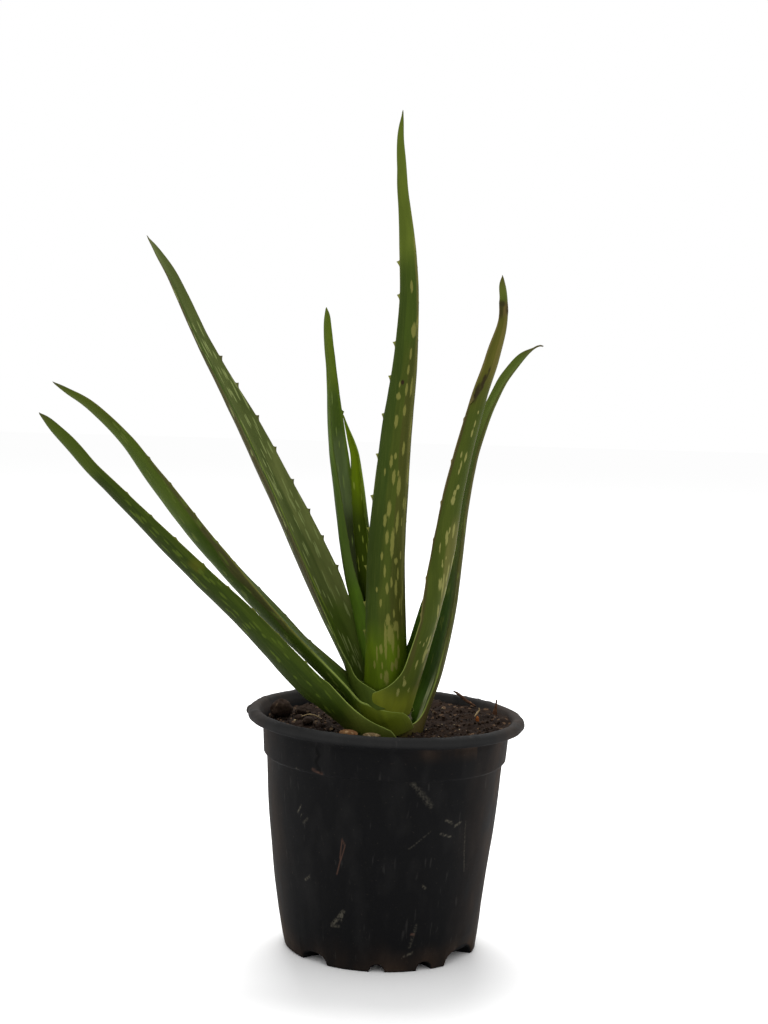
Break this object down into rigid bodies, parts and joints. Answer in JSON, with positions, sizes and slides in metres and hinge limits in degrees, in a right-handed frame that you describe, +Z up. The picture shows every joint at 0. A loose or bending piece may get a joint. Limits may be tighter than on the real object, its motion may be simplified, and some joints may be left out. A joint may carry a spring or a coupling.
{
  "type": "potted aloe plant",
  "caption": "Young aloe with long, thick, channelled, toothed leaves spreading from a short stem, growing in potting mix in a round tapered black nursery pot.",
  "frame": {"origin": "centre of the flat underside of the pot, on the surface that the pot stands on", "axes": "+Z up along the pot's axis; +X towards the side where the olive leaf leans and the rim dips; +Y towards the back of the pot, away from the tall leaf"},
  "size_m": [0.2575, 0.1535, 0.444],
  "materials": {
    "pot_plastic": "satin",
    "potting_mix": "matte",
    "stem_skin": "satin",
    "leaf_green": "satin",
    "leaf_grey_green": "satin",
    "leaf_olive": "satin",
    "leaf_young": "satin",
    "clod_mix": "matte",
    "bark": "matte",
    "pale_bark": "matte",
    "twig_bark": "matte"
  },
  "bodies": {
    "root": {"pot": "pot_plastic", "soil": "potting_mix", "stem": "stem_skin", "leaf_inner": "leaf_young", "leaf_folded": "leaf_grey_green", "leaf_tall": "leaf_green", "leaf_broad_left": "leaf_grey_green", "leaf_right": "leaf_olive", "leaf_second_left": "leaf_green", "leaf_low_right": "leaf_green", "leaf_low_left": "leaf_green", "clod": "clod_mix", "clod_small": "clod_mix", "bark_chip": "bark", "pale_chip": "pale_bark", "stick": "twig_bark", "twig_stub": "twig_bark"}
  },
  "joints": []
}
